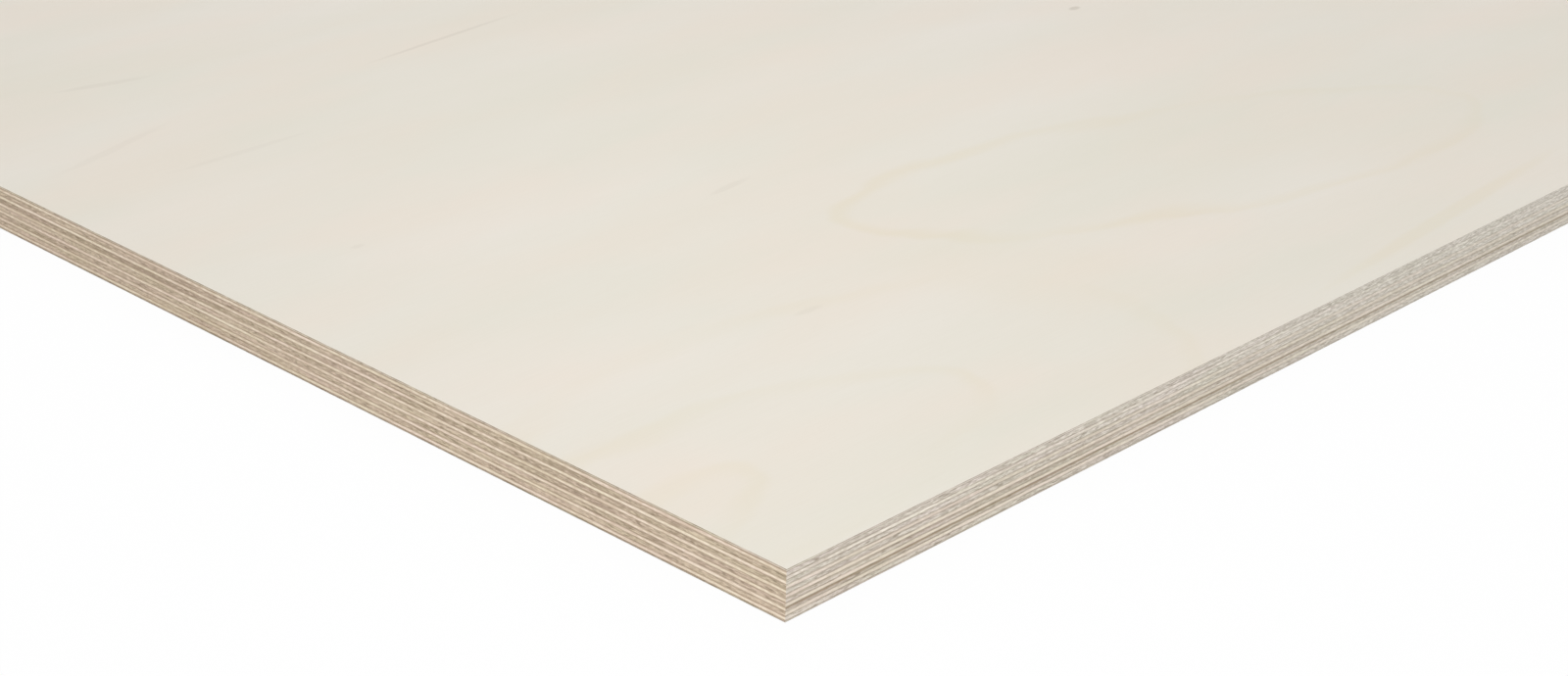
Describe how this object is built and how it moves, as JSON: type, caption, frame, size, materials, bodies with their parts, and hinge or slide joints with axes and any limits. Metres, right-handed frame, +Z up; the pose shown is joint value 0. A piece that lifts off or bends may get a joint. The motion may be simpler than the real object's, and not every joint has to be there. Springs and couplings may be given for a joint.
{
  "type": "plywood sheet",
  "caption": "Flat rectangular sheet of sanded birch plywood, its cross-banded plies showing on the sawn edges, to be cut up or fixed to framing.",
  "frame": {"origin": "centre of the sheet's underside, on the back veneer", "axes": "+X along the sheet's length and its face grain, +Y across its width, +Z up through the plies to the face"},
  "size_m": [2.5, 1.25, 0.018],
  "materials": {
    "outer_veneer": "matte",
    "crossband": "matte",
    "centre_ply": "matte"
  },
  "bodies": {
    "root": {"back_veneer": "outer_veneer", "crossband_1": "crossband", "centre_ply_1": "centre_ply", "crossband_2": "crossband", "centre_ply_2": "centre_ply", "crossband_3": "crossband", "centre_ply_3": "centre_ply", "crossband_4": "crossband", "centre_ply_4": "centre_ply", "crossband_5": "crossband", "centre_ply_5": "centre_ply", "crossband_6": "crossband", "face_veneer": "outer_veneer"}
  },
  "joints": []
}
